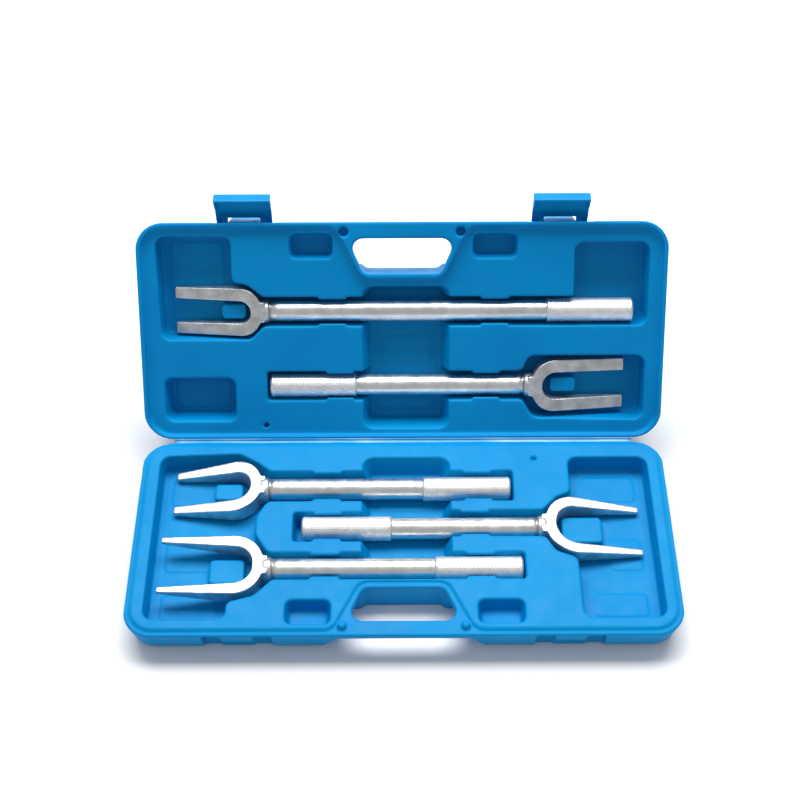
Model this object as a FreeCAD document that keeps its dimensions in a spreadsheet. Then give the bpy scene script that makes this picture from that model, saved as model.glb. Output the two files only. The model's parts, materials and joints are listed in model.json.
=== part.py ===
import FreeCAD, Part
import math
import os
import Sketcher

# Kit of five ball joint separator forks in a hinged, blow-moulded carrying case.
#
# Each half of the case is drawn in its own frame: X along the width, Y away from the hinge
# (for the base: towards the hinge), Z out of its rim, with the hinge axis at the origin.
# "v" is the distance from the hinge axis and "level" the height over the rim plane.
# Row frame: origin at the centre of the base's underside, +Z up, the hinge at the back (+Y).

SIZES = {
    # case
    "case_width": 466, "half_reach": 199, "half_height": 30, "hinge_gap": 1.5, "rim_drop": 0.25,
    "case_corner": 25, "case_draft": 12, "bottom_round": 8, "wall": 2,
    "rim_border": 5.5, "base_panel": 2, "lid_panel": -5, "panel_play": 1,
    "step_flare": 59.5, "step_waist": 37, "step_behind": 147,
    "base_floor": -17.5, "lid_floor": -26, "small_pocket": 14,
    "pocket_draft": 13, "crown_draft": 5, "grip_draft": 8, "channel_draft": 5, "well_draft": 19,
    "island_drop_base": 11, "island_drop_lid": 7, "needle_hole": 1.5,
    "snap_length": 24, "snap_reach": 2.5, "snap_height": 3,
    # carrying handle
    "grip_opening_front": 184, "grip_opening_back": 153,
    "grip_half_front": 48, "grip_half_back": 34, "grip_bar_height": 8, "grip_slope": 14,
    "peg_reach": 190, "peg_side": 51, "peg_round": 3.4, "peg_height": 4.5,
    "socket_round": 4.2, "socket_deep": 6.5,
    # living hinge
    "web_length": 413, "web_thick": 0.75, "web_past_axis": 0.6,
    # latches
    "latch_side": 138, "latch_width": 49, "latch_block": 27, "latch_notch": 15,
    "notch_reach": 190, "throat_reach": 196.3, "lip_thick": 2, "catch_level": 14, "undercut_reach": 192,
    "pin_reach": 196, "pin_level": 11.2, "pin_round": 1.5, "pin_length": 37.6, "ear_play": 0.1,
    "ear_thick": 4, "ear_gap": 0.8, "latch_inner": 3.5, "latch_plate": 2.4, "latch_span": 28.3,
    "latch_tail": 3.2, "hook_reach": 1.5, "hook_thick": 2.4, "tab_reach": 2.2,
    # forks
    "bar_round": 9.525, "knurl_round": 10.75, "knurl_chamfer": 1.6, "neck_round": 10.6,
    "neck_length": 7, "head_thick": 19, "crown_thick": 9.5, "base_axis": -6.2, "lid_axis": -14.7,
    # pose of the open case
    "lid_tilt": 54.5, "latch_tilt": 54,
}

# One row per fork: half of the case, way the tines point, distance of the bar from the hinge,
# far end of the grip, inner end of the grip, crown, tips, gap at the root and at the tips,
# width over the tines at the root and at the tips, thickness at the tips.
FORKS = {
    "lid_upper_fork": ("lid", -1, 117.3, 204.6, 127.6, -125, -202.4, 20, 22, 43, 42, -6.0),
    "lid_lower_fork": ("lid", 1, 48.5, -119, -41.3, 116, 200, 25, 23.5, 48, 46, -6.0),
    "base_rear_fork": ("base", -1, 49.3, 94.8, 17, -125, -202.5, 29, 29, 56, 43, -4.5),
    "base_middle_fork": ("base", 1, 90.8, -88, -9.8, 123, 207, 37, 38, 60, 49, -4.0),
    "base_front_fork": ("base", -1, 131.7, 101.5, 26.5, -118.7, -207, 34, 44, 58, 54, 3.5),
}

# Pockets: draft, then corner points (x, v, corner radius) at the level of the panel.
LID_POCKETS = {
    "left_upper": ("crown_draft", [
        (-216.5, 186, 9), (-150, 186, 8), (-150, 145, 5), (-137, 142.5, 9), (-123, 131.6, 7),
        (-110, 131.6, 0), (-110, 104.6, 0), (-123, 104.6, 7), (-135, 92.6, 9), (-214, 92.6, 9)]),
    "left_lower": ("pocket_draft", [
        (-214, 58, 8), (-149.5, 58, 8), (-149.5, 17, 8), (-214, 17, 8)]),
    "right_upper": ("grip_draft", [
        (151, 180, 8), (217, 180, 9), (217, 104.6, 9), (151, 104.6, 8)]),
    "right_lower": ("crown_draft", [
        (112, 77.5, 9), (217, 77.5, 9), (217, 17.5, 9), (117, 19.5, 9), (107.5, 36.2, 6),
        (98, 36.2, 0), (98, 63.6, 0), (107.5, 63.6, 6)]),
}
BASE_POCKETS = {
    "left": ("crown_draft", [
        (-216.5, 18.3, 9), (-146, 15.5, 10), (-129, 25.5, 9), (-118, 34.5, 8), (-100, 34.5, 0),
        (-100, 66.5, 0), (-119, 66.5, 7), (-127.5, 82, 10), (-127.5, 101, 10), (-116, 119.3, 7),
        (-100, 119.3, 0), (-100, 145.5, 0), (-111, 145.5, 6), (-125.5, 161, 10),
        (-148, 167.2, 6), (-148, 183.5, 7), (-216.5, 183.5, 9)]),
    "right": ("crown_draft", [
        (147, 20.5, 8), (217.5, 20.5, 9), (218, 183, 9), (149.5, 183, 8), (148.5, 125, 7),
        (130.5, 118, 10), (122.5, 103.5, 6), (110, 103.5, 0), (110, 76.5, 0), (121.5, 76.5, 7),
        (134, 63, 9), (147, 57.5, 6)]),
}
# Bar channels: left end, right end, edge near the hinge, far edge.
LID_CHANNELS = {"upper": (-118, 160, 104.6, 131.6), "lower": (-121.8, 106, 36.2, 63.6)}
BASE_CHANNELS = {
    "rear": (-116, 97.2, 34.5, 66.5), "middle_grip": (-95.7, 10, 78.2, 108),
    "middle_bar": (-5, 118, 76.5, 103.5), "front": (-116, 103.8, 119.3, 145.5),
}
WELLS = {"lid": (-36, 42, 9.5, 142), "base": (-36, 42, 20, 144.5)}
SMALL_POCKETS = {"left": (-99, -60.5, 165.5, 188.5), "right": (61.5, 101, 165.5, 187.8)}
# Islands between the tines: nearest and farthest end from the middle of the case, half width.
ISLANDS = {
    "lid_upper_fork": (-160.5, -139, 6.5), "lid_lower_fork": (133, 156, 6.5),
    "base_rear_fork": (-167, -142, 8.5), "base_middle_fork": (138, 173, 13),
    "base_front_fork": (-166, -136, 12),
}
NEEDLE_HOLES = {"lid": (-123.4, 13), "base": (116.8, 21.5)}     # where the blow needle went in: x, v
# Bumps that hold the bars in: fork, centre along the case, edge of the channel, way inward.
SNAPS = [("lid_upper_fork", -62, 131.6, -1), ("lid_upper_fork", 82, 131.6, -1),
         ("lid_upper_fork", -62, 104.6, 1), ("lid_upper_fork", 82, 104.6, 1),
         ("lid_lower_fork", -56, 63.6, -1), ("lid_lower_fork", 75, 63.6, -1),
         ("lid_lower_fork", -56, 36.2, 1), ("lid_lower_fork", 75, 36.2, 1),
         ("base_rear_fork", -67, 66.5, -1), ("base_rear_fork", 66, 66.5, -1),
         ("base_rear_fork", -67, 34.5, 1), ("base_rear_fork", 66, 34.5, 1),
         ("base_middle_fork", -66, 78.2, 1), ("base_middle_fork", 62, 76.5, 1),
         ("base_middle_fork", -66, 108, -1), ("base_middle_fork", 62, 103.5, -1),
         ("base_front_fork", -67, 119.3, 1), ("base_front_fork", 66, 119.3, 1),
         ("base_front_fork", -67, 145.5, -1), ("base_front_fork", 66, 145.5, -1)]

ACROSS = FreeCAD.Rotation(FreeCAD.Vector(1, 1, 1), 120)   # drawing plane turned to face +X
OVER = 3.0                                                 # tools run this far past a face

doc = FreeCAD.newDocument("ball_joint_separator_kit")
sheet = doc.addObject("Spreadsheet::Sheet", "Sizes")
for row, (alias, value) in enumerate(SIZES.items(), start=1):
    sheet.set(f"A{row}", alias)
    sheet.set(f"B{row}", str(value))
    sheet.setAlias(f"B{row}", alias)
doc.recompute()


def size(alias):
    return float(sheet.get(alias))


def vec(x=0.0, y=0.0, z=0.0):
    return FreeCAD.Vector(x, y, z)


# ---------------------------------------------------------------- drawing helpers

def add_outline(sketch, corners):
    """Closed outline of straight runs; each corner (x, y, radius) is rounded by its radius."""
    points = [vec(x, y) for x, y, _ in corners]
    starts, ends, arcs = [], [], []
    for i, (_, _, radius) in enumerate(corners):
        here = points[i]
        inward = (here - points[i - 1]).normalize()
        outward = (points[(i + 1) % len(points)] - here).normalize()
        turn = inward.getAngle(outward)
        left = inward.cross(outward).z > 0
        back = radius * math.tan(turn / 2)
        starts.append(here - inward * back)
        ends.append(here + outward * back)
        if radius > 0:
            side = vec(-inward.y, inward.x) * (1 if left else -1)
            centre = starts[-1] + side * radius
            a, b = starts[-1] - centre, ends[-1] - centre
            first, last = (a, b) if left else (b, a)
            low = math.atan2(first.y, first.x)
            high = math.atan2(last.y, last.x)
            if high < low:
                high += 2 * math.pi
            arcs.append(Part.ArcOfCircle(Part.Circle(centre, vec(0, 0, 1), radius), low, high))
    runs = []
    for i in range(len(points)):
        begin, finish = ends[i], starts[(i + 1) % len(points)]
        if begin.distanceToPoint(finish) > 1e-6:
            runs.append(Part.LineSegment(begin, finish))
    for geometry in runs + arcs:
        index = sketch.addGeometry(geometry, False)
        sketch.addConstraint(Sketcher.Constraint("Block", index))


def new_sketch(name, corners, level=0.0, rotation=None, base=None):
    sketch = doc.addObject("Sketcher::SketchObject", name)
    sketch.Placement = FreeCAD.Placement(base or vec(0, 0, level), rotation or FreeCAD.Rotation())
    add_outline(sketch, corners)
    return sketch


def extrude(name, profile, forward, backward="0", draft=None, direction=vec(0, 0, -1)):
    """Prism along direction, forward and backward by sheet expressions, narrowing by draft."""
    prism = doc.addObject("Part::Extrusion", name)
    prism.Base = profile
    prism.DirMode = "Custom"
    prism.Dir = direction
    prism.Solid = True
    prism.setExpression("LengthFwd", forward)
    prism.setExpression("LengthRev", backward)
    if draft:
        prism.setExpression("TaperAngle", "-" + draft)
    return prism


def box(name, low, high):
    """Block between two corners, each a triple of numbers or sheet expressions."""
    block = doc.addObject("Part::Box", name)
    for prop, axis, lo, hi in zip(("Length", "Width", "Height"), "xyz", low, high):
        block.setExpression(prop, f"({hi}) - ({lo})")
        block.setExpression(f"Placement.Base.{axis}", f"{lo}")
    return block


def cylinder(name, radius, height, base, rotation=None):
    rod = doc.addObject("Part::Cylinder", name)
    rod.setExpression("Radius", radius)
    rod.setExpression("Height", height)
    rod.Placement = FreeCAD.Placement(base, rotation or FreeCAD.Rotation())
    return rod


def fuse(name, shapes):
    if len(shapes) == 1:
        return shapes[0]
    joined = doc.addObject("Part::MultiFuse", name)
    joined.Shapes = shapes
    return joined


def cut(name, base, tool):
    result = doc.addObject("Part::Cut", name)
    result.Base = base
    result.Tool = tool
    return result


def round_edges(name, base, radius, wanted):
    """Fillet on the edges of base whose shape satisfies wanted."""
    doc.recompute()
    rounded = doc.addObject("Part::Fillet", name)
    rounded.Base = base
    rounded.Edges = [(i, radius, radius)
                     for i, edge in enumerate(base.Shape.Edges, start=1) if wanted(edge)]
    return rounded


def at_level(level):
    return lambda edge: all(abs(v.Z - level) < 1e-4 for v in edge.Vertexes)


def grown(name, sketch, amount):
    ring = doc.addObject("Part::Offset2D", name)
    ring.Source = sketch
    ring.Join = "Intersection"
    ring.setExpression("Value", amount)
    return ring


def rectangle(x0, x1, v0, v1, radius):
    return [(x0, v0, radius), (x1, v0, radius), (x1, v1, radius), (x0, v1, radius)]


# ---------------------------------------------------------------- one half of the case

class Half:
    """One half of the double-walled case, with the hinge axis at its own origin."""

    def __init__(self, side):
        self.side = side
        self.way = 1 if side == "lid" else -1          # v grows along +Y in the lid, -Y in the base
        self.panel = size(side + "_panel")
        self.floor = size(side + "_floor")
        self.tools = []                                # what is cut from the outside
        self.inner = []                                # the same, grown by the wall, for the cavity

    def flip(self, corners):
        return [(x, self.way * v, radius) for x, v, radius in corners]

    def name(self, word):
        return f"{self.side}_{word}"

    def block(self, word, inset, top, bottom, radius):
        """Drafted block with round corners and a round bottom edge."""
        half_width = size("case_width") / 2 - inset
        corners = self.flip(rectangle(-half_width, half_width, size("hinge_gap") + inset,
                                      size("half_reach") - inset, size("case_corner") - inset))
        sketch = new_sketch(self.name(word + "_outline"), corners, top)
        prism = extrude(self.name(word + "_prism"), sketch, str(top - bottom), draft="Sizes.case_draft")
        return round_edges(self.name(word), prism, radius, at_level(bottom))

    def pocket(self, word, corners, draft, floor=None, top=None):
        """Drafted pocket from the panel down to floor, and its grown twin."""
        top = self.panel if top is None else top
        floor = self.floor if floor is None else floor
        sketch = new_sketch(self.name(word + "_outline"), self.flip(corners), top)
        self.tools.append(extrude(self.name(word), sketch, str(top - floor), str(OVER), draft))
        ring = grown(self.name(word + "_ring"), sketch, "Sizes.wall")
        self.inner.append(extrude(self.name(word + "_grown"), ring,
                                  f"{top - floor} + Sizes.wall + 0.6", str(OVER), draft))

    def slab(self, word, low, high, grow=True):
        """Box cut; low and high are (x, v, level)."""
        ys = sorted((self.way * low[1], self.way * high[1]))
        wall = size("wall")
        self.tools.append(box(self.name(word), (low[0], ys[0], low[2]), (high[0], ys[1], high[2])))
        if grow:
            self.inner.append(box(self.name(word + "_grown"),
                                  (low[0] - wall, ys[0] - wall, low[2] - wall),
                                  (high[0] + wall, ys[1] + wall, high[2] + wall)))

    def panel_outline(self, play):
        """Step line: round the half, and behind the carrying handle in two soft S-bends."""
        side = size("case_width") / 2 - size("rim_border") + play
        front = size("half_reach") - size("rim_border") + play
        back = size("rim_border") - play
        bend = size("case_corner") - 4
        flare, waist, behind = size("step_flare"), size("step_waist"), size("step_behind")
        return self.flip([(-side, back, bend), (side, back, bend), (side, front, bend),
                          (flare - play, front, 12), (waist - play, behind + play, 14),
                          (-waist + play, behind + play, 14), (-flare + play, front, 12),
                          (-side, front, bend)])

    def handle(self):
        """Opening for the fingers, and the thin bar in front of it."""
        front, back = size("grip_opening_front"), size("grip_opening_back")
        wide, narrow = size("grip_half_front"), size("grip_half_back")
        opening = self.flip([(-narrow, back, 8), (narrow, back, 8), (wide, front, 9), (-wide, front, 9)])
        top = max(self.panel, 0) + OVER
        sketch = new_sketch(self.name("finger_opening_outline"), opening, top)
        depth = str(size("half_height") + top + OVER)
        self.tools.append(extrude(self.name("finger_opening"), sketch, depth))
        ring = grown(self.name("finger_opening_ring"), sketch, "Sizes.wall")
        self.inner.append(extrude(self.name("finger_opening_grown"), ring, depth))
        bar, deep = -size("grip_bar_height"), -size("half_height") - OVER
        slope = size("grip_slope") * (bar - deep) / (size("half_height") - size("grip_bar_height"))
        for word, store, extra in (("relief", self.tools, 0), ("relief_grown", self.inner, size("wall"))):
            near, far = wide + 7 + extra, wide + 7 + extra + slope
            profile = new_sketch(self.name(word + "_outline"),
                                 [(-near, bar + extra, 4), (near, bar + extra, 4), (far, deep, 0),
                                  (-far, deep, 0)],
                                 rotation=FreeCAD.Rotation(vec(1, 0, 0), 90))
            reach = size("grip_opening_back") + 4 - extra
            span = size("half_reach") + OVER - reach
            profile.Placement.Base.y = reach if self.way > 0 else -reach
            store.append(extrude(self.name(word), profile, str(span), direction=vec(0, self.way, 0)))

    def latch_seats(self):
        """Two notches and an undercut for each latch, and the bore of its pin in the lid."""
        block, notch = size("latch_block") / 2, size("latch_notch")
        lip = -size("rim_drop") - size("lip_thick")
        deep, outside = -size("half_height") - OVER, size("half_reach") + OVER
        for side, sign in (("left", -1), ("right", 1)):
            middle = sign * size("latch_side")
            for word, start in (("outer", block), ("inner", -block - notch)):
                x0 = middle + start
                shelf = lip if self.side == "base" else self.panel - size("wall")
                self.slab(f"{side}_{word}_notch", (x0, size("notch_reach"), deep),
                          (x0 + notch, outside, shelf), grow=False)
                if self.side == "lid":
                    self.slab(f"{side}_{word}_throat", (x0, size("throat_reach"), shelf - 1),
                              (x0 + notch, outside, lip), grow=False)
            if self.side == "base":
                self.slab(f"{side}_undercut", (middle - block - 1, size("undercut_reach"), deep),
                          (middle + block + 1, outside, -size("catch_level")), grow=False)
            ys = sorted((self.way * (size("notch_reach") - size("wall")), self.way * outside))
            solid = block + notch + size("wall")
            self.inner.append(box(self.name(f"{side}_latch_solid"), (middle - solid, ys[0], deep),
                                  (middle + solid, ys[1], OVER)))
            if self.side == "lid":
                start = vec(middle - block - OVER, size("pin_reach"), -size("pin_level"))
                self.tools.append(cylinder(self.name(side + "_pin_bore"), "Sizes.pin_round",
                                           f"Sizes.latch_block + {2 * OVER}", start,
                                           FreeCAD.Rotation(vec(0, 1, 0), 90)))

    def islands(self):
        blocks = []
        for fork, (x0, x1, half_width) in ISLANDS.items():
            if FORKS[fork][0] != self.side:
                continue
            v = FORKS[fork][2]
            top = self.panel - size("island_drop_" + self.side)
            corners = self.flip(rectangle(x0, x1, v - half_width, v + half_width, 3.5))
            sketch = new_sketch(f"{fork}_island_outline", corners, top)
            blocks.append(extrude(f"{fork}_island", sketch, str(top - self.floor + 1)))
        return blocks

    def snaps(self):
        bumps = []
        for i, (fork, x, edge, way) in enumerate(SNAPS):
            if FORKS[fork][0] != self.side:
                continue
            far = edge + way * size("snap_reach")
            near = edge - way * 1.5
            ys = sorted((self.way * near, self.way * far))
            half = size("snap_length") / 2
            bumps.append(box(f"{fork}_snap_{i}", (x - half, ys[0], self.panel - size("snap_height")),
                             (x + half, ys[1], self.panel)))
        return bumps

    def build(self, pockets, channels, body_name):
        rim = -size("rim_drop")
        bottom = -size("half_height")
        wall = size("wall")
        outer = self.block("body", 0, rim, bottom, size("bottom_round"))
        added = []
        if self.panel > 0:
            step = new_sketch(self.name("panel_outline"), self.panel_outline(0), self.panel)
            added.append(extrude(self.name("panel_step"), step, str(self.panel + 4)))
            for sign in (-1, 1):
                foot = vec(sign * size("peg_side"), self.way * size("peg_reach"), rim - OVER)
                peg = cylinder(f"peg_{'left' if sign < 0 else 'right'}", "Sizes.peg_round",
                               f"Sizes.peg_height + {OVER}", foot)
                tip = rim + size("peg_height")
                added.append(round_edges(peg.Name + "_round", peg, 1.6, at_level(tip)))
        else:
            step = new_sketch(self.name("panel_outline"), self.panel_outline(size("panel_play")),
                              self.panel)
            self.tools.append(extrude(self.name("panel_recess"), step, "0.0001", "-Sizes.lid_panel + 2"))
            for sign in (-1, 1):
                foot = vec(sign * size("peg_side"), self.way * size("peg_reach"),
                           rim - size("socket_deep"))
                self.tools.append(cylinder(f"socket_{'left' if sign < 0 else 'right'}",
                                           "Sizes.socket_round", f"Sizes.socket_deep + {OVER}", foot))
            block = size("latch_block") / 2
            for word, sign in (("left", -1), ("right", 1)):
                middle = sign * size("latch_side")
                added.append(box(f"{word}_pin_boss", (middle - block, size("notch_reach"), bottom),
                                 (middle + block, size("half_reach"), rim)))
        for word, (draft, corners) in pockets.items():
            self.pocket(word + "_pocket", corners, "Sizes." + draft)
        for word, (x0, x1, v0, v1) in channels.items():
            self.pocket(word + "_channel", rectangle(x0, x1, v0, v1, 2.5), "Sizes.channel_draft")
        x0, x1, v0, v1 = WELLS[self.side]
        self.pocket("finger_well", rectangle(x0, x1, v0, v1, 10), "Sizes.well_draft")
        for word, (x0, x1, v0, v1) in SMALL_POCKETS.items():
            self.pocket(word + "_small_pocket", rectangle(x0, x1, v0, v1, 6), "Sizes.pocket_draft",
                        floor=self.panel - size("small_pocket"))
        self.handle()
        self.latch_seats()
        needle_x, needle_v = NEEDLE_HOLES[self.side]
        needle = cylinder(self.name("needle_hole"), "Sizes.needle_hole", "14",
                          vec(needle_x, self.way * needle_v, self.panel - 12))
        hollow = self.block("cavity", wall + 0.8, min(rim, self.panel) - wall, bottom + wall,
                            size("bottom_round") - wall)
        cavity = cut(self.name("cavity_clear"), hollow, fuse(self.name("inner_tools"), self.inner))
        solid = fuse(self.name("solid"), [outer] + added)
        opened = cut(self.name("opened"), solid, fuse(self.name("tools"), self.tools))
        stocked = fuse(self.name("stocked"), [opened] + self.islands() + self.snaps())
        hollowed = cut(self.name("hollowed"), stocked, cavity)
        shell = cut(body_name, hollowed, needle)
        shell.Label = body_name
        return shell


HINGE = vec(0, size("half_reach") / 2, size("half_height"))
BASE_PLACE = FreeCAD.Placement(HINGE, FreeCAD.Rotation())
LID_PLACE = FreeCAD.Placement(HINGE, FreeCAD.Rotation(vec(1, 0, 0), size("lid_tilt")))
PLACES = {"base": BASE_PLACE, "lid": LID_PLACE}
WAYS = {"base": -1, "lid": 1}


# ---------------------------------------------------------------- living hinge

def living_hinge():
    """Thin web along the back of the case."""
    axis_y, top = "Sizes.half_reach / 2", "Sizes.half_height - Sizes.rim_drop"
    return box("living_hinge",
               ("-Sizes.web_length / 2", f"{axis_y} - Sizes.hinge_gap", f"{top} - Sizes.web_thick"),
               ("Sizes.web_length / 2", f"{axis_y} + Sizes.web_past_axis", top))


# ---------------------------------------------------------------- latches

def latch(side, sign):
    """Moulded latch: a plate with a hook and a finger tab, on two ears round its pin.

    Drawn latched, in the plane of Y (away from the wall) and Z (towards the free end),
    with the pin at the origin, then turned open."""
    inner, plate = size("latch_inner"), size("latch_plate")
    outer, tail, span = inner + plate, size("latch_tail"), size("latch_span")
    hook = size("hook_thick")
    profile = [(inner, -tail, 0.6), (outer, -tail, 1.2), (outer + 0.7, span * 0.5, 30),
               (outer + 0.2, span - hook - 1.5, 1.5), (outer + size("tab_reach"), span - 0.9, 0.6),
               (outer + size("tab_reach") - 0.7, span, 0.4), (-size("hook_reach"), span, 0.8),
               (-size("hook_reach"), span - hook, 0.6), (inner, span - hook, 1.0)]
    half = size("latch_width") / 2
    sheet_part = extrude(f"{side}_latch_plate", new_sketch(
        f"{side}_latch_profile", profile, rotation=ACROSS, base=vec(-half, 0, 0)),
        "Sizes.latch_width", direction=vec(1, 0, 0))
    window = size("latch_block") / 2 + size("ear_gap")
    parts = [cut(f"{side}_latch_opened", sheet_part,
                 box(f"{side}_latch_window", (-window, -5, -tail - 1), (window, outer + 3, 3.6)))]
    ear = [(-3.2, -tail, 3), (outer, -tail, 1), (outer, 4, 0.5), (1.5, 4, 1), (-3.2, 3.2, 3)]
    for word, start in (("inner", window), ("outer", -window - size("ear_thick"))):
        parts.append(extrude(f"{side}_latch_{word}_ear", new_sketch(
            f"{side}_latch_{word}_ear_profile", ear, rotation=ACROSS, base=vec(start, 0, 0)),
            "Sizes.ear_thick", direction=vec(1, 0, 0)))
    rib = [(outer, 3.5, 0), (outer, span - 1, 0), (-0.8, span - 1, 0), (0.8, 16.7, 1), (inner, 14.2, 1),
           (inner - 0.1, 3.5, 0)]
    for word, start in (("left", -half), ("right", half - 2)):
        parts.append(extrude(f"{side}_latch_{word}_rib", new_sketch(
            f"{side}_latch_{word}_rib_profile", rib, rotation=ACROSS, base=vec(start, 0, 0)),
            "2", direction=vec(1, 0, 0)))
    bore = cylinder(f"{side}_latch_bore", "Sizes.pin_round + Sizes.ear_play", "Sizes.latch_width",
                    vec(-half, 0, 0), FreeCAD.Rotation(vec(0, 1, 0), 90))
    body = cut(f"latch_{side}", fuse(f"{side}_latch_blank", parts), bore)
    pin = cylinder(f"latch_pin_{side}", "Sizes.pin_round", "Sizes.pin_length",
                   vec(-size("pin_length") / 2, 0, 0), FreeCAD.Rotation(vec(0, 1, 0), 90))
    pivot = vec(sign * size("latch_side"), size("pin_reach"), -size("pin_level"))
    closed = LID_PLACE.multiply(FreeCAD.Placement(pivot, FreeCAD.Rotation()))
    turned = FreeCAD.Placement(vec(), FreeCAD.Rotation(vec(1, 0, 0), -size("latch_tilt")))
    body.Placement = closed.multiply(turned)
    pin.Placement = closed.multiply(pin.Placement)
    return body, pin


# ---------------------------------------------------------------- forks

def fork(word, row):
    """Wedge fork: a forged forked head on a turned bar with a knurled grip.

    Drawn along +X from the far end of the grip, then laid in its channel."""
    side, way, reach, grip_end, grip_start, crown, tips, root, mouth, wide, tip_wide, tip_thick = row
    grip = abs(grip_start - grip_end)
    bar = abs(crown - grip_end)
    tip = bar + abs(tips - crown)
    along = FreeCAD.Rotation(vec(0, 1, 0), 90)

    blank = cylinder(f"{word}_grip_blank", "Sizes.knurl_round", str(grip), vec(), along)
    turned = round_grip(f"{word}_grip", blank)
    rod = cylinder(f"{word}_bar", "Sizes.bar_round", f"{bar - grip / 2} - Sizes.neck_length",
                   vec(grip / 2, 0, 0), along)
    handle = fuse(f"{word}_handle", [turned, rod])

    half_wide, half_gap, thick = wide / 2, root / 2, size("head_thick") / 2
    joined = size("bar_round") - 0.5
    crotch = bar + size("crown_thick")
    plan = [(bar - 3, -joined, 0), (bar + 1, -joined, 2),
            (bar + 0.3 * half_wide, -half_wide, 0.88 * half_wide),
            (tip, -tip_wide / 2, 1), (tip, -mouth / 2, 1), (crotch, -half_gap, 0.96 * half_gap)]
    plan += [(x, -y, radius) for x, y, radius in reversed(plan)]
    blank = extrude(f"{word}_plan", new_sketch(f"{word}_plan_outline", plan, size("head_thick")),
                    "2 * Sizes.head_thick")
    heel = bar + 0.35 * half_wide
    flat = math.copysign(thick, tip_thick)
    wedge = [(bar - 4, flat, 0), (tip + 1, flat, 0), (tip + 1, flat - tip_thick, 0),
             (heel, -flat, 30), (bar - 4, -flat, 0)]
    profile = new_sketch(f"{word}_wedge_outline", wedge, rotation=FreeCAD.Rotation(vec(1, 0, 0), 90),
                         base=vec(0, -wide, 0))
    wedge_part = extrude(f"{word}_wedge", profile, str(2 * wide), direction=vec(0, 1, 0))
    forged = doc.addObject("Part::MultiCommon", f"{word}_forging")
    forged.Shapes = [blank, wedge_part]
    neck = cylinder(f"{word}_neck", "Sizes.neck_round", "Sizes.neck_length + 1",
                    vec(bar - size("neck_length"), 0, 0), along)
    neck = round_edges(f"{word}_neck_round", neck, 2.2, lambda edge: edge.Closed)
    head = fuse(f"{word}_head", [forged, neck])

    turn = FreeCAD.Rotation() if way > 0 else FreeCAD.Rotation(vec(0, 0, 1), 180)
    here = vec(grip_end, WAYS[side] * reach, size(side + "_axis"))
    place = PLACES[side].multiply(FreeCAD.Placement(here, turn))
    handle.Placement = place
    head.Placement = place
    return head, handle


def round_grip(name, blank):
    """Chamfer both ends of the knurled grip."""
    doc.recompute()
    chamfered = doc.addObject("Part::Chamfer", name)
    chamfered.Base = blank
    depth = size("knurl_chamfer")
    chamfered.Edges = [(i, depth if abs(edge.CenterOfMass.x) < 1e-6 else 0.5, depth * 0.8)
                       for i, edge in enumerate(blank.Shape.Edges, start=1) if edge.Closed]
    return chamfered


# ---------------------------------------------------------------- assembly and export

base_shell = Half("base").build(BASE_POCKETS, BASE_CHANNELS, "base_shell")
base_shell.Placement = BASE_PLACE
lid_shell = Half("lid").build(LID_POCKETS, LID_CHANNELS, "lid_shell")
lid_shell.Placement = LID_PLACE
pieces = [base_shell, lid_shell, living_hinge()]
for side, sign in (("left", -1), ("right", 1)):
    pieces += latch(side, sign)
for word, row in FORKS.items():
    pieces += fork(word, row)
for piece in pieces:
    piece.Label = piece.Name
doc.recompute()

for thing in doc.Objects:
    if "Invalid" in thing.State or "Error" in thing.State:
        raise RuntimeError(f"{thing.Name} failed: {thing.State}")
os.makedirs("parts", exist_ok=True)
for piece in pieces:
    shape = piece.Shape
    if shape.isNull() or not shape.isValid():
        raise RuntimeError(f"{piece.Label} has no valid shape")
    extent = shape.BoundBox
    print(f"{piece.Label:24s} solids {len(shape.Solids)} volume {shape.Volume / 1000:8.2f} cm3 "
          f"x {extent.XMin:7.1f}..{extent.XMax:7.1f} y {extent.YMin:7.1f}..{extent.YMax:7.1f} "
          f"z {extent.ZMin:6.1f}..{extent.ZMax:6.1f}")
    shape.exportStep(f"parts/{piece.Label}.step")
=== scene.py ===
import json
import math

import bmesh
import bpy
from mathutils import Matrix, Vector


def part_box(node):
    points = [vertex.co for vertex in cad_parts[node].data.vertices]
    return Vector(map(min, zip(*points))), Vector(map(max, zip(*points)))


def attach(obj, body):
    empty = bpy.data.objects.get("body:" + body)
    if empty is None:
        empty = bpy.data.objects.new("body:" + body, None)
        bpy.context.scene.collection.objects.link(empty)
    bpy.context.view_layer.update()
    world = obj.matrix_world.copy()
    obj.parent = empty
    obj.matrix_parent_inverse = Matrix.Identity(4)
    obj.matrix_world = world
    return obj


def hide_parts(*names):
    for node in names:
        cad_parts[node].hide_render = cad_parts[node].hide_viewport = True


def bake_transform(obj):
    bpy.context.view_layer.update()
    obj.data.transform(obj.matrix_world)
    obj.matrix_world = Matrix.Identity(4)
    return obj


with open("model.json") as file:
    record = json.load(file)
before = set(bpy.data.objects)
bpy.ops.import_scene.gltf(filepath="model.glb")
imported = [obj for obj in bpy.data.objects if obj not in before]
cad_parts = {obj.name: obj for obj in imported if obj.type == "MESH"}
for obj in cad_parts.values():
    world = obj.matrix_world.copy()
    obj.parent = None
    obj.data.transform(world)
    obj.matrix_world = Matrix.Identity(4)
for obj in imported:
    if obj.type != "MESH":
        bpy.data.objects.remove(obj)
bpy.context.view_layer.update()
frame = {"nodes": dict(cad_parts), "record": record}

# Open case of five ball joint separators: a blow-moulded case, two latches and five wedge forks.
# Everything is in metres, in the row frame: +X along the case, +Y to the hinge, +Z up.

JOINTS = {j["name"]: j for j in frame["record"]["behaviour"]["joints"]}
HINGE = Vector(JOINTS["lid_hinge"]["pos_m"])
TILT = math.radians(180 + JOINTS["lid_hinge"]["range_deg"][0])     # slope of the open lid
MM = 0.001
FORKS = ["lid_upper_fork", "lid_lower_fork", "base_rear_fork", "base_middle_fork", "base_front_fork"]
LID_FORKS = FORKS[:2]


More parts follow.
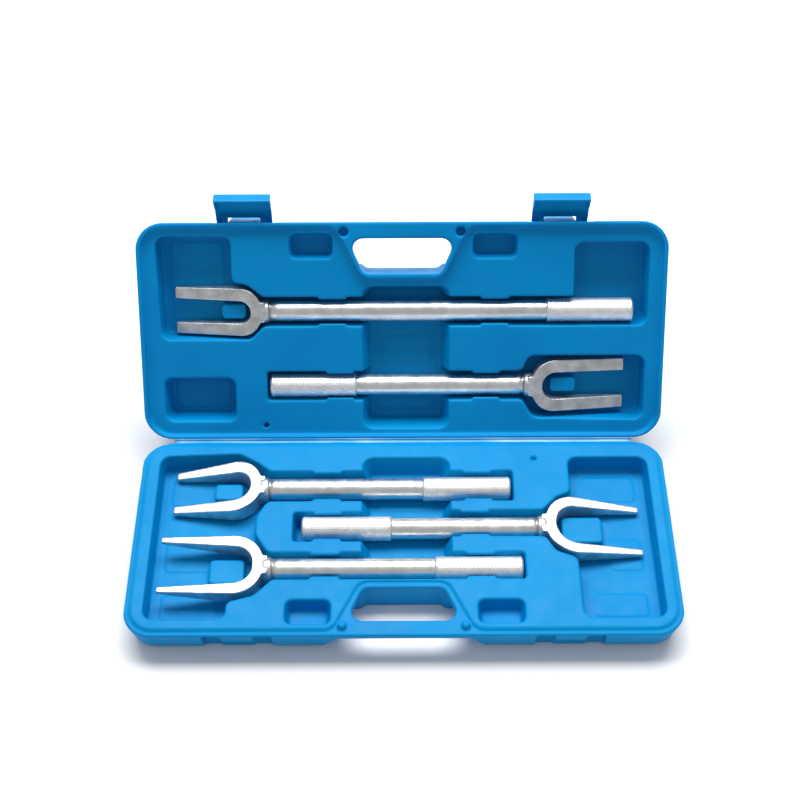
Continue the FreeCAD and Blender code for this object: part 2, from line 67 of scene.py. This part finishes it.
def half_frame(side):
    """Matrix from a half's own frame (hinge axis at the origin, Z out of the rim) to the row frame."""
    turn = Matrix.Rotation(TILT, 4, "X") if side == "lid" else Matrix.Identity(4)
    return Matrix.Translation(HINGE) @ turn


# ---------------------------------------------------------------- materials

def material(name, base, roughness, metallic=0.0):
    """Principled material with one colour; returns the material, its nodes, links and shader."""
    made = bpy.data.materials.new(name)
    made.use_nodes = True
    nodes, links = made.node_tree.nodes, made.node_tree.links
    shader = nodes["Principled BSDF"]
    shader.inputs["Base Color"].default_value = (*base, 1)
    shader.inputs["Roughness"].default_value = roughness
    shader.inputs["Metallic"].default_value = metallic
    return made, nodes, links, shader


def noise(nodes, links, scale, detail, stretch=(1, 1, 1)):
    """Noise over the object's own coordinates, stretched along an axis."""
    where = nodes.new("ShaderNodeTexCoord")
    mapping = nodes.new("ShaderNodeMapping")
    mapping.inputs["Scale"].default_value = stretch
    grain = nodes.new("ShaderNodeTexNoise")
    grain.inputs["Scale"].default_value = scale
    grain.inputs["Detail"].default_value = detail
    links.new(where.outputs["Object"], mapping.inputs["Vector"])
    links.new(mapping.outputs["Vector"], grain.inputs["Vector"])
    return grain.outputs["Fac"]


def ramp(nodes, links, factor, low, high, start=0.35, end=0.65):
    """Colour ramp between two colours, or two grey levels given as numbers."""
    made = nodes.new("ShaderNodeValToRGB")
    for element, value, place in zip(made.color_ramp.elements, (low, high), (start, end)):
        element.color = (value,) * 3 + (1,) if isinstance(value, float) else (*value, 1)
        element.position = place
    links.new(factor, made.inputs["Fac"])
    return made.outputs["Color"]


def bump(nodes, links, shader, heights):
    """Chain of bumps into the shader's normal: (height socket, strength, depth in metres)."""
    normal = None
    for height, strength, depth in heights:
        made = nodes.new("ShaderNodeBump")
        made.inputs["Strength"].default_value = strength
        made.inputs["Distance"].default_value = depth
        links.new(height, made.inputs["Height"])
        if normal:
            links.new(normal, made.inputs["Normal"])
        normal = made.outputs["Normal"]
    links.new(normal, shader.inputs["Normal"])


def case_plastic():
    """Blue polyethylene: satin, with faint flow clouds, fine mould grain and slow waves."""
    made, nodes, links, shader = material("case_plastic", (0.0, 0.27, 0.66), 0.42)
    shader.inputs["Specular IOR Level"].default_value = 0.1
    clouds = noise(nodes, links, 14, 3)
    links.new(ramp(nodes, links, clouds, (0.0, 0.228, 0.545), (0.0, 0.256, 0.59)),
              shader.inputs["Base Color"])
    links.new(ramp(nodes, links, noise(nodes, links, 60, 5), 0.38, 0.52), shader.inputs["Roughness"])
    bump(nodes, links, shader, [(noise(nodes, links, 9, 2), 0.35, 0.0012),
                                (noise(nodes, links, 1400, 3), 0.22, 0.00012)])
    return made


def latch_plastic():
    """The latches' plastic, a little smoother and glossier."""
    made, nodes, links, shader = material("latch_plastic", (0.0, 0.25, 0.57), 0.34)
    shader.inputs["Specular IOR Level"].default_value = 0.15
    links.new(ramp(nodes, links, noise(nodes, links, 40, 3), (0.0, 0.225, 0.54), (0.0, 0.25, 0.58)),
              shader.inputs["Base Color"])
    links.new(ramp(nodes, links, noise(nodes, links, 90, 4), 0.30, 0.44), shader.inputs["Roughness"])
    bump(nodes, links, shader, [(noise(nodes, links, 900, 3), 0.2, 0.0001)])
    return made


def hinge_plastic_and_highlight():
    """Living hinge: the same plastic, stretched thin; its paler, whiter colour along the fold is partly
    stress whitening and partly a painted highlight.
    """
    made, nodes, links, shader = material("hinge_plastic_and_highlight", (0.10, 0.45, 0.80), 0.5)
    # Streaks from blue towards pale white: partly stress whitening of the fold, partly a painted
    # highlight on the web.
    links.new(ramp(nodes, links, noise(nodes, links, 120, 4, (0.15, 1, 1)), (0.02, 0.36, 0.78),
                   (0.35, 0.62, 0.86)), shader.inputs["Base Color"])
    links.new(ramp(nodes, links, noise(nodes, links, 60, 2), 0.42, 0.6), shader.inputs["Roughness"])
    bump(nodes, links, shader, [(noise(nodes, links, 500, 3, (0.2, 1, 1)), 0.3, 0.0001)])
    return made


def plated_steel(name, low, high, rough_low, rough_high, along, scratch, mottled):
    """Zinc-plated steel: turning or grinding marks, and faint clouds in the plating."""
    made, nodes, links, shader = material(name, high, rough_low, metallic=1.0)
    clouds = noise(nodes, links, mottled, 6)
    links.new(ramp(nodes, links, clouds, low, high, 0.3, 0.7), shader.inputs["Base Color"])
    streaks = noise(nodes, links, scratch, 4, along)
    links.new(ramp(nodes, links, streaks, rough_low, rough_high), shader.inputs["Roughness"])
    bump(nodes, links, shader, [(streaks, 0.10, 0.00001), (noise(nodes, links, 55, 3), 0.12, 0.00003)])
    return made


CASE = case_plastic()
LATCH = latch_plastic()
WEB = hinge_plastic_and_highlight()
BAR = plated_steel("plated_bar", (0.70, 0.71, 0.71), (0.90, 0.90, 0.89), 0.30, 0.42,
                   (4, 1, 1), 60, 60)
KNURL = plated_steel("knurled_steel", (0.78, 0.79, 0.79), (0.95, 0.95, 0.94), 0.42, 0.56,
                     (1, 1, 1), 700, 140)
FORGED = plated_steel("forged_steel", (0.50, 0.51, 0.52), (0.82, 0.82, 0.81), 0.36, 0.56,
                      (1, 9, 9), 120, 90)
PIN = plated_steel("pin_steel", (0.5, 0.5, 0.5), (0.75, 0.75, 0.74), 0.25, 0.4,
                   (10, 1, 1), 200, 80)


# ---------------------------------------------------------------- mesh helpers

def add_piece(name, mesh, made):
    """New object in the scene, with one material."""
    piece = bpy.data.objects.new(name, mesh)
    bpy.context.scene.collection.objects.link(piece)
    mesh.materials.clear()
    mesh.materials.append(made)
    return piece


def apply_modifiers(piece):
    """Puts what the piece's modifiers make in place of its mesh."""
    evaluated = piece.evaluated_get(bpy.context.evaluated_depsgraph_get())
    mesh = bpy.data.meshes.new_from_object(evaluated)
    old, made = piece.data, piece.data.materials[0]
    piece.modifiers.clear()
    piece.data = mesh
    bpy.data.meshes.remove(old)
    mesh.materials.clear()
    mesh.materials.append(made)


def soften(piece, voxel, rounds):
    """Rounds every edge: an even remesh, then a few rounds of smoothing."""
    remesh = piece.modifiers.new("even", "REMESH")
    remesh.mode = "VOXEL"
    remesh.voxel_size = voxel
    smooth = piece.modifiers.new("round", "SMOOTH")
    smooth.factor = 0.5
    smooth.iterations = rounds
    apply_modifiers(piece)


def thin_out(piece, keep):
    """Collapses faces down to a share, and shades smooth."""
    fewer = piece.modifiers.new("fewer", "DECIMATE")
    fewer.ratio = keep
    apply_modifiers(piece)
    for face in piece.data.polygons:
        face.use_smooth = True


# ---------------------------------------------------------------- case shells

NEEDLES = {"base": (0.1168, -0.0215), "lid": (-0.1234, 0.013)}   # holes of the blow needle, own frame
NEEDLE_RADIUS = 1.5 * MM
DIMPLE_RADIUS = 2.2 * MM      # the hole's mouth once its edge is rounded
DIMPLE_DEEP = 7 * MM
WELD = 0.002 * MM             # vertices closer than this are one


def outer_skin(side):
    """The shell's outer surface in the half's own frame, without the cavity between its two walls."""
    skin = bmesh.new()
    skin.from_mesh(frame["nodes"][side + "_shell"].data)
    bmesh.ops.transform(skin, matrix=half_frame(side).inverted(), verts=skin.verts)
    bmesh.ops.remove_doubles(skin, verts=skin.verts, dist=WELD)
    x, y = NEEDLES[side]
    bore = [f for f in skin.faces
            if all(abs(math.hypot(v.co.x - x, v.co.y - y) - NEEDLE_RADIUS) < 0.05 * MM for v in f.verts)
            and abs(f.normal.z) < 0.5]
    bmesh.ops.delete(skin, geom=bore, context="FACES")
    islands, seen = [], set()
    for start in skin.verts:
        if start in seen or not start.link_faces:
            continue
        stack, island = [start], []
        seen.add(start)
        while stack:
            vert = stack.pop()
            island.append(vert)
            for edge in vert.link_edges:
                other = edge.other_vert(vert)
                if other not in seen and edge.link_faces:
                    seen.add(other)
                    stack.append(other)
        islands.append(island)
    kept = set(max(islands, key=lambda island: max(v.co.x for v in island)))
    bmesh.ops.delete(skin, geom=[v for v in skin.verts if v not in kept], context="VERTS")
    holes = [e for e in skin.edges if len(e.link_faces) == 1]
    bmesh.ops.holes_fill(skin, edges=holes, sides=0)
    mesh = bpy.data.meshes.new(side + "_shell_skin")
    skin.to_mesh(mesh)
    skin.free()
    return mesh


# Shallow raised panels on the pocket floors: x from and to, reach from the hinge from and to, in mm.
EMBOSSED = {
    "base": [(160, 207, 30, 57), (178, 207, 96, 128), (160, 207, 150, 173),
             (-206, -158, 30, 60), (-206, -158, 97, 128), (-206, -158, 150, 176), (-22, 28, 46, 66)],
    "lid": [(-20, 26, 66, 92), (-24, 30, 22, 34), (-206, -158, 108, 178), (-207, -156, 24, 51)],
}
EMBOSS_LINE = 1.5 * MM        # width of the step's slope
EMBOSS_DEEP = 0.7 * MM
EMBOSS_CORNER = 5 * MM
FLOOR_PLAY = 0.8 * MM         # vertices this near the floor's level belong to it
FLOOR_LEVEL = {"base": -17.5 * MM, "lid": -26 * MM}


def emboss(side, vertices):
    """Raises the embossed panels from the pocket floors, with rounded corners."""
    way = -1 if side == "base" else 1
    level = FLOOR_LEVEL[side]
    for x0, x1, v0, v1 in EMBOSSED[side]:
        middle = Vector(((x0 + x1) / 2, way * (v0 + v1) / 2)) * MM
        half = Vector(((x1 - x0) / 2, (v1 - v0) / 2)) * MM
        for vert in vertices:
            if abs(vert.co.z - level) > FLOOR_PLAY:
                continue
            dx, dy = abs(vert.co.x - middle.x), abs(vert.co.y - middle.y)
            if dx > half.x + EMBOSS_LINE or dy > half.y + EMBOSS_LINE:
                continue
            qx, qy = dx - (half.x - EMBOSS_CORNER), dy - (half.y - EMBOSS_CORNER)
            away = min(max(qx, qy), 0) + math.hypot(max(qx, 0), max(qy, 0)) - EMBOSS_CORNER
            if away < 0:
                vert.co.z += EMBOSS_DEEP * min(1, -away / EMBOSS_LINE)


def shell(side):
    """One half of the case with its edges rounded as blow moulding leaves them."""
    piece = add_piece(side + "_case", outer_skin(side), CASE)
    soften(piece, 1.1 * MM, 5)
    x, y = NEEDLES[side]
    panel_top = max(v.co.z for v in piece.data.vertices
                    if 3 * MM < math.hypot(v.co.x - x, v.co.y - y) < 6 * MM)
    for vert in piece.data.vertices:
        away = math.hypot(vert.co.x - x, vert.co.y - y)
        if away < DIMPLE_RADIUS and vert.co.z > panel_top - 2 * MM:
            vert.co.z -= DIMPLE_DEEP * (1 - (away / DIMPLE_RADIUS) ** 6)
    emboss(side, piece.data.vertices)
    piece.data.transform(half_frame(side))
    thin_out(piece, 0.32)
    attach(piece, side)
    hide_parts(side + "_shell")


def living_hinge():
    """Thin web between the two halves along the back, built once with the fold of the open lid."""
    low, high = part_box("living_hinge")
    half, gap = (high.x - low.x) / 2, HINGE.y - low.y
    slope = Vector((0, math.cos(TILT), math.sin(TILT)))
    across = [Vector((0, -gap * t, 0)) for t in (1.35, 1.0, 0.6, 0.25)]
    across += [slope * gap * t for t in (0.25, 0.6, 1.0, 1.35)]
    verts, faces = [], []
    steps, drop, thick, fold = 60, 0.45 * MM, 0.55 * MM, 0.5 * MM
    for i in range(steps + 1):
        x = -half + 2 * half * i / steps
        for j, point in enumerate(across):
            normal = Vector((0, 0, 1)) if j < 4 else Vector((0, -math.sin(TILT), math.cos(TILT)))
            sag = drop + (fold if j in (3, 4) else 0)
            top = HINGE + Vector((x, 0, 0)) + point - normal * sag
            verts += [top, top - normal * thick]
    width = 2 * len(across)
    for i in range(steps):
        for j in range(len(across) - 1):
            a, b = i * width + 2 * j, (i + 1) * width + 2 * j
            faces += [(a, b, b + 2, a + 2), (a + 1, a + 3, b + 3, b + 1)]
    for i in (0, steps):
        for j in range(len(across) - 1):
            a = i * width + 2 * j
            faces.append((a, a + 2, a + 3, a + 1) if i == 0 else (a, a + 1, a + 3, a + 2))
    for i in range(steps):
        a, b = i * width, (i + 1) * width
        c, d = a + width - 2, b + width - 2
        faces += [(a, a + 1, b + 1, b), (c, d, d + 1, c + 1)]
    mesh = bpy.data.meshes.new("hinge_web")
    mesh.from_pydata(verts, [], faces)
    piece = add_piece("hinge_web", mesh, WEB)
    for face in mesh.polygons:
        face.use_smooth = True
    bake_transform(piece)
    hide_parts("living_hinge")


# ---------------------------------------------------------------- latches

def latches():
    """Both latches with their edges rounded, and the steel of their pins."""
    for side in ("left", "right"):
        node = "latch_" + side
        piece = add_piece(node + "_clip", frame["nodes"][node].data.copy(), LATCH)
        soften(piece, 0.4 * MM, 4)
        thin_out(piece, 0.45)
        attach(piece, node)
        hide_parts(node)
        frame["nodes"]["latch_pin_" + side].material_slots[0].material = PIN


# ---------------------------------------------------------------- forks

KNURL_PITCH = 1.5 * MM
KNURL_DEEP = 0.32 * MM
KNURL_FADE = 5                # rings over which the knurl dies out at each end
GRIP_CHAMFER = 1.6 * MM
GRIP_BORDER = 0.3 * MM        # plain ring behind the chamfer
STEP_LENGTH = 0.5 * MM        # from the grip's end to the full bar
BAR_RINGS = 24


def ring_profile(bar, grip, grip_length, length):
    """Radius at each place along a handle, from the grip's end: (x, radius, share of the knurl)."""
    chamfer = GRIP_CHAMFER
    steps = int(grip_length / (KNURL_PITCH / 4))
    profile = [(0.0, grip - chamfer - 1.2 * MM, 0.0), (0.0, grip - chamfer, 0.0),
               (chamfer * 0.5, grip - chamfer * 0.42, 0.0), (chamfer, grip - 0.15 * MM, 0.0)]
    knurled = grip_length - 2 * chamfer - GRIP_BORDER
    for i in range(steps + 1):
        x = chamfer + GRIP_BORDER + knurled * i / steps
        profile.append((x, grip, min(1.0, min(i, steps - i) / KNURL_FADE)))
    plain = grip_length + STEP_LENGTH
    profile += [(grip_length - chamfer * 0.6, grip - 0.2 * MM, 0.0),
                (grip_length, grip - 0.75 * MM, 0.0),
                (grip_length + 0.1 * MM, bar + 0.25 * MM, 0.0), (plain, bar, 0.0)]
    profile += [(plain + (length - plain) * i / BAR_RINGS, bar, 0.0) for i in range(1, BAR_RINGS + 1)]
    return profile


def handle_sizes(points, low, high):
    """Bar radius, grip radius, grip length and whether the grip is at the low end."""
    grip = (high.z - low.z) / 2
    middle = (low + high) / 2
    radii = [(p.x, math.hypot(p.y - middle.y, p.z - middle.z)) for p in points]
    bar = min(r for x, r in radii if grip - 1.3 * MM < r < grip - 1 * MM)
    wide = [x for x, r in radii if r > grip - 0.3 * MM]
    at_low = abs(min(wide) - low.x) < 5 * MM
    grip_length = (max(wide) - low.x) if at_low else (high.x - min(wide))
    return bar, grip, grip_length, at_low


def knurled_handle(word):
    """Turned bar with a diamond-knurled grip, lying along X like its CAD node."""
    node = word + "_handle"
    side = "lid" if word in LID_FORKS else "base"
    own = half_frame(side).inverted()
    points = [own @ v.co for v in frame["nodes"][node].data.vertices]
    low = Vector([min(p[i] for p in points) for i in range(3)])
    high = Vector([max(p[i] for p in points) for i in range(3)])
    bar, grip, grip_length, at_low = handle_sizes(points, low, high)
    length, middle = high.x - low.x, (low + high) / 2
    around = 8 * round(math.pi * grip / KNURL_PITCH)
    verts, faces = [], []
    profile = ring_profile(bar, grip, grip_length, length)
    for x, radius, knurled in profile:
        place = low.x + (x if at_low else length - x)
        for k in range(around):
            angle = 2 * math.pi * k / around
            u, v = k / 4, x / KNURL_PITCH
            ridge = max(abs(math.sin(math.pi * (u + v) / 2)), abs(math.sin(math.pi * (u - v) / 2)))
            r = radius - KNURL_DEEP * knurled * ridge
            verts.append((place, middle.y + r * math.cos(angle), middle.z + r * math.sin(angle)))
    for i in range(len(profile) - 1):
        for k in range(around):
            a, b = i * around + k, i * around + (k + 1) % around
            quad = (a, b, b + around, a + around)
            faces.append(quad if at_low else quad[::-1])
    first, last = list(range(around)), list(range((len(profile) - 1) * around, len(verts)))
    faces += [first[::-1], last] if at_low else [first, last[::-1]]
    mesh = bpy.data.meshes.new(word + "_handle_turned")
    mesh.from_pydata(verts, [], faces)
    mesh.validate()
    piece = add_piece(word + "_bar", mesh, BAR)
    mesh.materials.append(KNURL)
    for face in mesh.polygons:
        face.use_smooth = len(face.vertices) == 4
        face.material_index = int(profile[min(face.vertices) // around][0] <= grip_length)
    mesh.transform(half_frame(side))
    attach(piece, word)
    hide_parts(node)


def forged_head(word):
    """Forged head: the CAD head with forging radii on every edge."""
    node = word + "_head"
    piece = add_piece(word + "_forging", frame["nodes"][node].data.copy(), FORGED)
    soften(piece, 0.55 * MM, 8)
    thin_out(piece, 0.6)
    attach(piece, word)
    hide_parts(node)


# ---------------------------------------------------------------- stage, light and camera

FLOOR_REACH = 6.0
FLOOR_DROP = 0.2 * MM


def stage():
    """Plain pale floor and a white sky, shown in the display's own colours."""
    floor_mesh = bpy.data.meshes.new("floor")
    corners = [(x * FLOOR_REACH, y * FLOOR_REACH, 0) for x, y in ((-1, -1), (1, -1), (1, 1), (-1, 1))]
    floor_mesh.from_pydata(corners, [], [(0, 1, 2, 3)])
    floor = add_piece("floor", floor_mesh, material("floor", (0.92, 0.92, 0.92), 0.9)[0])
    floor.location.z = -FLOOR_DROP
    world = bpy.data.worlds.new("studio")
    world.use_nodes = True
    world.node_tree.nodes["Background"].inputs["Color"].default_value = (1, 1, 1, 1)
    world.node_tree.nodes["Background"].inputs["Strength"].default_value = 0.42
    bpy.context.scene.world = world
    bpy.context.scene.view_settings.view_transform = "Standard"


def area_light(name, place, target, width, depth, power):
    """Rectangular soft light that faces its target."""
    lamp = bpy.data.lights.new(name, "AREA")
    lamp.shape = "RECTANGLE"
    lamp.size, lamp.size_y = width, depth
    lamp.energy = power
    holder = bpy.data.objects.new(name, lamp)
    holder.location = place
    holder.rotation_euler = (Vector(target) - Vector(place)).to_track_quat("-Z", "Y").to_euler()
    bpy.context.scene.collection.objects.link(holder)


def camera():
    """Camera in front, looking down at about 52 degrees."""
    lens = bpy.data.cameras.new("camera")
    lens.sensor_width = 36
    lens.lens = 63.68
    holder = bpy.data.objects.new("camera", lens)
    holder.location = (-0.0024, -0.6636, 1.0593)
    holder.rotation_euler = (math.radians(38.19), 0, 0)
    holder.rotation_euler.rotate_axis("Z", math.radians(-0.24))
    bpy.context.scene.collection.objects.link(holder)
    bpy.context.scene.camera = holder


for half in ("base", "lid"):
    shell(half)
living_hinge()
latches()
for fork in FORKS:
    knurled_handle(fork)
    forged_head(fork)
stage()
area_light("top_softbox", (0, 0.85, 1.9), (0, 0, 0), 2.2, 0.9, 60)
camera()
